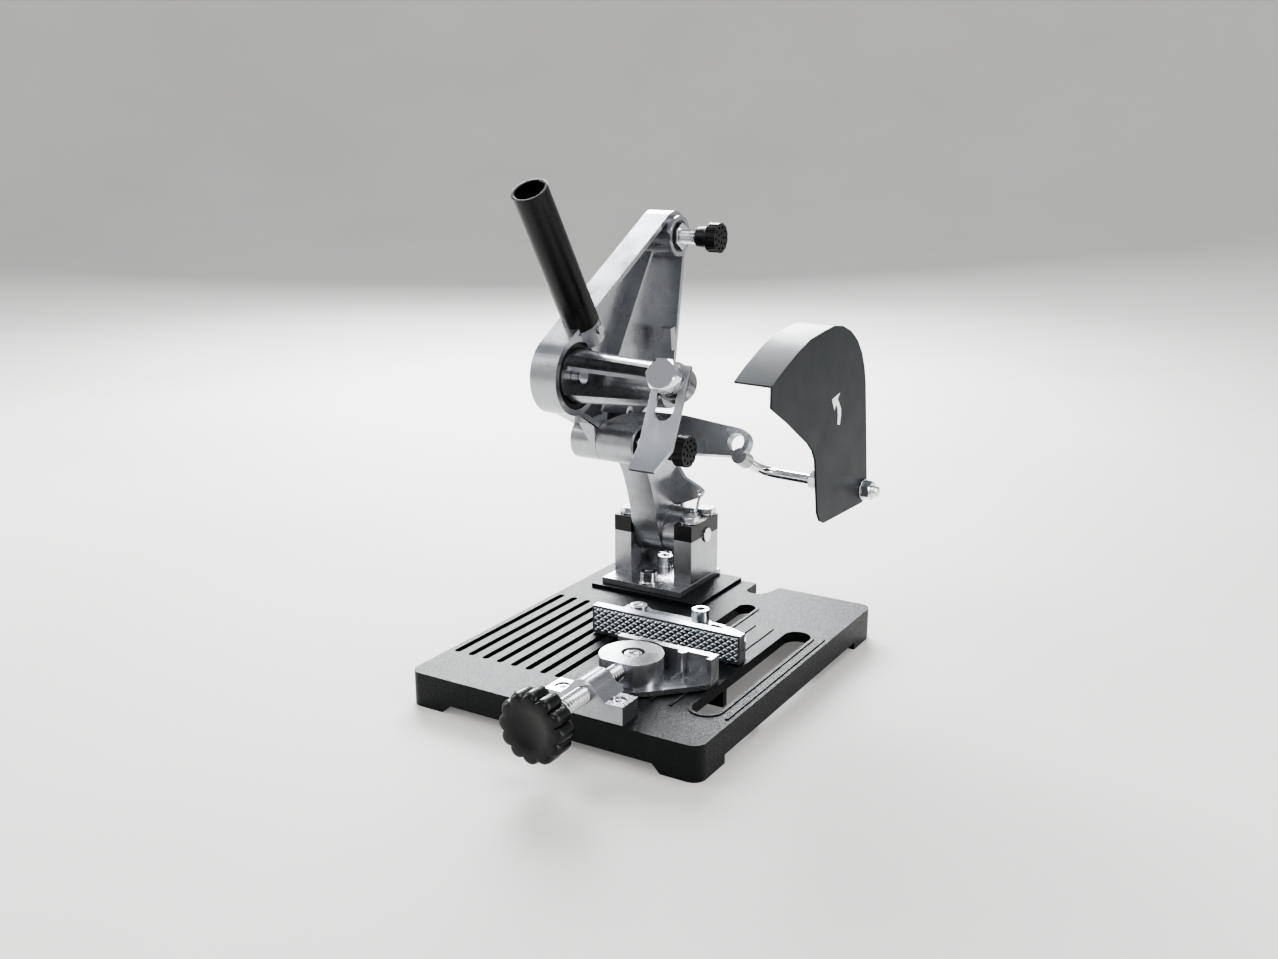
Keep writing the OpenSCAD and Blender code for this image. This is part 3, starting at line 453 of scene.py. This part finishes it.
# ---------------------------------------------------------------- screws with real threads

SCREW_R = 0.006
CREST_R = SCREW_R - 0.00002
LEAD_PITCH = 0.003
LEAD_DEPTH = 0.0016
LEAD_TIP_R = SCREW_R - 0.0015
LEAD_TIP_L = 0.005
ROD_PITCH = 0.00175
ROD_DEPTH = 0.0009

for rod in ("upper_rod", "lower_rod"):
    a, b = ends(rod, 0)
    piece = threaded(rod + "_thread", a, b, CREST_R, ROD_PITCH, ROD_DEPTH)
    finish_piece(piece, rod)
    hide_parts(rod)

a, b = ends("lead_screw", 1)
shoulder = b - Y_AXIS * LEAD_TIP_L
lead = join_as("lead_screw_thread", [
    threaded("lead_main", a, shoulder, CREST_R, LEAD_PITCH, LEAD_DEPTH, steps=12),
    revolve("lead_tip", [(0, 0), (LEAD_TIP_R, 0), (LEAD_TIP_R, LEAD_TIP_L), (0, LEAD_TIP_L)],
            frame_at(shoulder, Y_AXIS))])
smooth_by_angle(lead.data, ROUND_BAR_ANGLE)
finish_piece(lead, "lead_screw")
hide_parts("lead_screw")


# ---------------------------------------------------------------- hexagon bolts and nuts

def stands_for(obj, node):
    finish_piece(obj, node)
    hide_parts(node)
    return obj


def disc(name, place, radius, low, high, edge=0.0005, around=48):
    """A washer or shank with broken edges, along local Z."""
    return revolve(name, [(0, low), (radius - edge, low), (radius, low + edge),
                          (radius, high - edge), (radius - edge, high), (0, high)],
                   place, around)


MOUNTS = {m["name"]: m for m in frame["record"]["mounts"]}
tool_mount = MOUNTS["tool_bolt_end"]
tool_place = frame_at(tool_mount["pos_m"], -Vector(tool_mount["axis"]), up=X_AXIS)
FREE_END = tool_mount["dims"]["length_mm"] * MM / 2
FREE_R = tool_mount["dims"]["r_mm"] * MM
TOOL_R = 0.007
HEAD_FROM = 0.0265
HEAD_TO = 0.0355
HEAD_AF = 0.022
LAP = 0.0002
stands_for(join_as("tool_bolt_look", [
    disc("tool_free_end", tool_place, FREE_R, -FREE_END, FREE_END, 0.0009),
    disc("tool_shank", tool_place, TOOL_R, FREE_END - LAP, HEAD_FROM + LAP, 0.0001),
    hex_prism("tool_head", tool_place, HEAD_AF, HEAD_FROM, HEAD_TO)]), "tool_bolt")

cap_low, cap_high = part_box("cap_bolts")
CAP_SEAT_R = 0.0076
CAP_HEAD = 0.0053
CAP_AF = 0.013
CAP_R = 0.004
CAP_SEAT_H = 0.001
bolt_parts = []
for x in (cap_low.x + CAP_SEAT_R, cap_high.x - CAP_SEAT_R):
    for y in (cap_low.y + CAP_SEAT_R, cap_high.y - CAP_SEAT_R):
        place = frame_at((x, y, cap_high.z - CAP_HEAD), (0, 0, 1))
        bolt_parts += [
            disc("cap_seat", place, CAP_SEAT_R, 0, CAP_SEAT_H, 0.0003),
            hex_prism("cap_head", place, CAP_AF, CAP_SEAT_H * 0.9, CAP_HEAD),
            disc("cap_shank", place, CAP_R, cap_low.z - cap_high.z + CAP_HEAD, 0.0005, 0.0005)]
stands_for(join_as("cap_bolts_look", bolt_parts), "cap_bolts")

tilt = JOINTS["guard_tilt"]
nut_place = frame_at(tilt["pos_m"], tilt["axis"], up=(0, 0, 1))
NUT_AF = 0.013
NUT_BORE = 0.0041
NUT_H = 0.0065
# where each nut starts along the rod, from the guard's pivot
NUT_STARTS = (-0.0441, 0.0016)
nuts = [hex_prism("guard_nut", nut_place, NUT_AF, x, x + NUT_H, chamfered_low=True,
                  bore=NUT_BORE) for x in NUT_STARTS]
stands_for(join_as("guard_nuts_look", nuts), "guard_nuts")


# ---------------------------------------------------------------- vise knob

KNOB_LOBES = 12
LOBE_DEPTH = 0.0034
LOBE_ROUNDNESS = 0.75
KNOB_AROUND = KNOB_LOBES * 14
knob_low, knob_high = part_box("vise_knob")
knob_middle = (knob_low + knob_high) / 2
knob_r = (knob_high.x - knob_low.x) / 2
knob_place = frame_at((knob_middle.x, knob_low.y, knob_middle.z), Y_AXIS, up=X_AXIS)
# each row: share of the radius, height, and how deep the lobes are there
KNOB_ROWS = [(0.0, 0.0016, 0), (0.44, 0.0014, 0), (0.50, 0.0004, 0), (0.70, 0.0, 0.25),
             (0.86, 0.0, 0.6), (0.93, 0.0006, 0.9), (0.975, 0.0019, 1), (1.0, 0.0042, 1),
             (1.0, 0.0130, 1), (0.975, 0.0153, 1), (0.92, 0.0168, 0.9), (0.84, 0.0172, 0.5),
             (0.50, 0.0174, 0), (0.47, 0.0178, 0), (0.46, 0.0212, 0), (0.43, 0.0220, 0),
             (0.0, 0.0220, 0)]
knob_verts, knob_faces = [], []
for share, height, lobed in KNOB_ROWS:
    for i in range(KNOB_AROUND):
        a = 2 * math.pi * i / KNOB_AROUND
        valley = 1 - abs(math.cos(KNOB_LOBES * a / 2)) ** LOBE_ROUNDNESS
        r = max(0.0001, share * knob_r - lobed * LOBE_DEPTH * valley)
        knob_verts.append(knob_place @ Vector((r * math.cos(a), r * math.sin(a), height)))
for k in range(len(KNOB_ROWS) - 1):
    for i in range(KNOB_AROUND):
        j = (i + 1) % KNOB_AROUND
        knob_faces.append((k * KNOB_AROUND + i, k * KNOB_AROUND + j,
                           (k + 1) * KNOB_AROUND + j, (k + 1) * KNOB_AROUND + i))
knob_look = mesh_object("vise_knob_look", knob_verts, knob_faces)
smooth_by_angle(knob_look.data, ROUND_BAR_ANGLE)
stands_for(knob_look, "vise_knob")


# ---------------------------------------------------------------- knurled fence face

KNURL_PITCH = Vector((0.0062, 0.0046))
KNURL_HEIGHT = 0.0008
KNURL_SUNK = 0.0002
KNURL_FLAT = 2.2
KNURL_RIM_CELLS = 2
KNURL_MARGIN = 0.0014
KNURL_STEP = 0.00045
fence_low, fence_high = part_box("fence")
panel_low = Vector((fence_low.x + KNURL_MARGIN, fence_low.z + KNURL_MARGIN))
panel_high = Vector((fence_high.x - KNURL_MARGIN, fence_high.z - KNURL_MARGIN))
columns = round((panel_high.x - panel_low.x) / KNURL_STEP)
rows = round((panel_high.y - panel_low.y) / KNURL_STEP)


def ridge(value):
    """1 in the middle of each cell and 0 on its edges."""
    return 1 - abs(2 * (value % 1) - 1)


panel_verts, panel_faces = [], []
for r in range(rows + 1):
    for c in range(columns + 1):
        x = panel_low.x + (panel_high.x - panel_low.x) * c / columns
        z = panel_low.y + (panel_high.y - panel_low.y) * r / rows
        u = x / KNURL_PITCH.x + z / KNURL_PITCH.y
        v = x / KNURL_PITCH.x - z / KNURL_PITCH.y
        rise = min(1, KNURL_FLAT * min(ridge(u), ridge(v)))
        rim = min(1, min(c, columns - c, r, rows - r) / KNURL_RIM_CELLS)
        y = fence_low.y + KNURL_SUNK - rim * (KNURL_SUNK + KNURL_HEIGHT * rise)
        panel_verts.append((x, y, z))
for r in range(rows):
    for c in range(columns):
        i = r * (columns + 1) + c
        panel_faces.append((i, i + 1, i + columns + 2, i + columns + 1))
knurl = mesh_object("fence_knurl", panel_verts, panel_faces)
for face in knurl.data.polygons:
    face.use_smooth = True
finish_piece(knurl, "fence")


# ---------------------------------------------------------------- arrow on the guard

# the arrow's corners on the guard's side, in mm along and up from the guard's pivot
ARROW = [(-43.2, 81.7), (-55.2, 78.5), (-50.9, 69.8), (-48.3, 73.6), (-46.3, 70.4),
         (-45.3, 65.9), (-45.5, 58.5), (-41.7, 57.6), (-40.2, 65.0), (-40.8, 69.5),
         (-43.2, 73.3), (-46.3, 77.4)]
ARROW_PROUD = 0.00015
guard_axis = Vector(tilt["axis"]).normalized()
guard_along = Vector((-guard_axis.y, guard_axis.x, 0)).normalized()
guard_origin = Vector(tilt["pos_m"])
arrow_verts = [guard_origin + guard_along * y * MM + Vector((0, 0, z * MM))
               + guard_axis * ARROW_PROUD for y, z in ARROW]
arrow = mesh_object("guard_arrow", arrow_verts, [tuple(range(len(ARROW)))])
finish_piece(arrow, "guard_shell", ARROW_WHITE)


# ---------------------------------------------------------------- guard rod

# a straight bar out of the lug's socket, one smooth bend, and a threaded end at the guard
swivel = JOINTS["guard_swivel"]
corner = Vector(swivel["pos_m"])
along_socket = -Vector(swivel["axis"]).normalized()
pivot = guard_origin
along_pivot = guard_axis
ROD_R = 0.004
ROD_THREAD_R = ROD_R - 0.0001
ROD_THREAD_PITCH = 0.00125
ROD_THREAD_DEPTH = 0.0007
SOCKET_REACH = 0.0395
PIVOT_REACH = 0.013
THREAD_START = 0.031
ROUND_BACK = 0.020
ROUND_STEPS = 16
bend = []
for i in range(ROUND_STEPS + 1):
    u = i / ROUND_STEPS
    from_socket = corner + along_socket * ROUND_BACK
    to_pivot = corner + along_pivot * ROUND_BACK
    bend.append((1 - u) ** 2 * from_socket + 2 * u * (1 - u) * corner + u ** 2 * to_pivot)
shoulder = pivot - along_pivot * THREAD_START
path = [corner + along_socket * SOCKET_REACH] + bend + [shoulder]
guard_rod = join_as("guard_rod_bent", [
    sweep("guard_rod_bar", path, ROD_R),
    threaded("guard_rod_thread", shoulder, pivot + along_pivot * PIVOT_REACH, ROD_THREAD_R,
             ROD_THREAD_PITCH, ROD_THREAD_DEPTH, chamfer=0.0006)])
smooth_by_angle(guard_rod.data, ROUND_BAR_ANGLE)
finish_piece(guard_rod, "guard_rod")
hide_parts("guard_rod")


# ---------------------------------------------------------------- backdrop, light, camera

# the floor and its round, rising wall, as (radius, height)
BACKDROP = [(0, 0), (1.4, 0), (1.9, 0.03), (2.4, 0.12), (2.8, 0.28), (3.15, 0.52), (3.4, 0.82),
            (3.55, 1.15), (3.6, 1.6)]
floor = revolve("floor", BACKDROP, Matrix.Identity(4), around=96)
for face in floor.data.polygons:
    face.use_smooth = True
FLOOR_DARK = (0.505, 0.495, 0.48)
FLOOR_LIGHT = (0.535, 0.525, 0.51)
FLOOR_GLOW = (0.95, 0.94, 0.92, 1)
FLOOR_GLOW_STRENGTH = 0.16
floor_look = Shader("floor_plain", FLOOR_LIGHT, 0.7)
floor_look.color_between(floor_look.remap(floor_look.noise(3, 2), 0.3, 0.7, 0, 1),
                         FLOOR_DARK, FLOOR_LIGHT)
floor_look.bsdf.inputs["Emission Color"].default_value = FLOOR_GLOW
floor_look.bsdf.inputs["Emission Strength"].default_value = FLOOR_GLOW_STRENGTH
floor.data.materials.append(floor_look.mat)

world = bpy.data.worlds.new("studio")
bpy.context.scene.world = world
world.use_nodes = True
SKY_COLOR = (0.86, 0.88, 0.92, 1)
SKY_STRENGTH = 0.40
background = world.node_tree.nodes["Background"]
background.inputs["Color"].default_value = SKY_COLOR
background.inputs["Strength"].default_value = SKY_STRENGTH

OBJECT_MIDDLE = Vector((0.0, 0.0, 0.15))


def soft_box(name, place, size, power, color=(1, 1, 1)):
    """A rectangular area light that looks at the object."""
    light = bpy.data.lights.new(name, "AREA")
    light.shape = "RECTANGLE"
    light.size, light.size_y = size
    light.energy = power
    light.color = color
    obj = bpy.data.objects.new(name, light)
    obj.location = place
    obj.rotation_euler = (OBJECT_MIDDLE - Vector(place)).to_track_quat("-Z", "Y").to_euler()
    bpy.context.scene.collection.objects.link(obj)
    return obj


soft_box("window", (-0.85, 1.15, 1.0), (1.2, 0.8), 62, (0.97, 0.985, 1))
soft_box("left_fill", (-1.3, -0.55, 0.7), (0.7, 1.0), 12)
soft_box("front_fill", (0.5, -1.6, 1.1), (1.0, 0.7), 7, (1, 0.985, 0.96))
soft_box("right_strip", (1.35, 0.1, 0.6), (0.35, 1.2), 8)
soft_box("top", (0.1, 0.2, 1.7), (0.9, 0.9), 10)

CAMERA_PLACE = Vector((0.4604, -0.7892, 0.3962))
CAMERA_YAW = math.radians(31.0)
CAMERA_PITCH = math.radians(15.34)
IMAGE_WIDTH = 1278
FOCAL_IN_WIDTHS = 1318 / IMAGE_WIDTH
SENSOR = 36.0
camera_data = bpy.data.cameras.new("camera")
camera_data.sensor_width = SENSOR
camera_data.lens = FOCAL_IN_WIDTHS * SENSOR
camera_data.clip_start = 0.01
camera = bpy.data.objects.new("camera", camera_data)
camera.location = CAMERA_PLACE
camera.rotation_euler = (math.pi / 2 - CAMERA_PITCH, 0, CAMERA_YAW)
bpy.context.scene.collection.objects.link(camera)
bpy.context.scene.camera = camera
bpy.context.scene.view_settings.view_transform = "AgX"
bpy.context.scene.view_settings.look = "AgX - High Contrast"
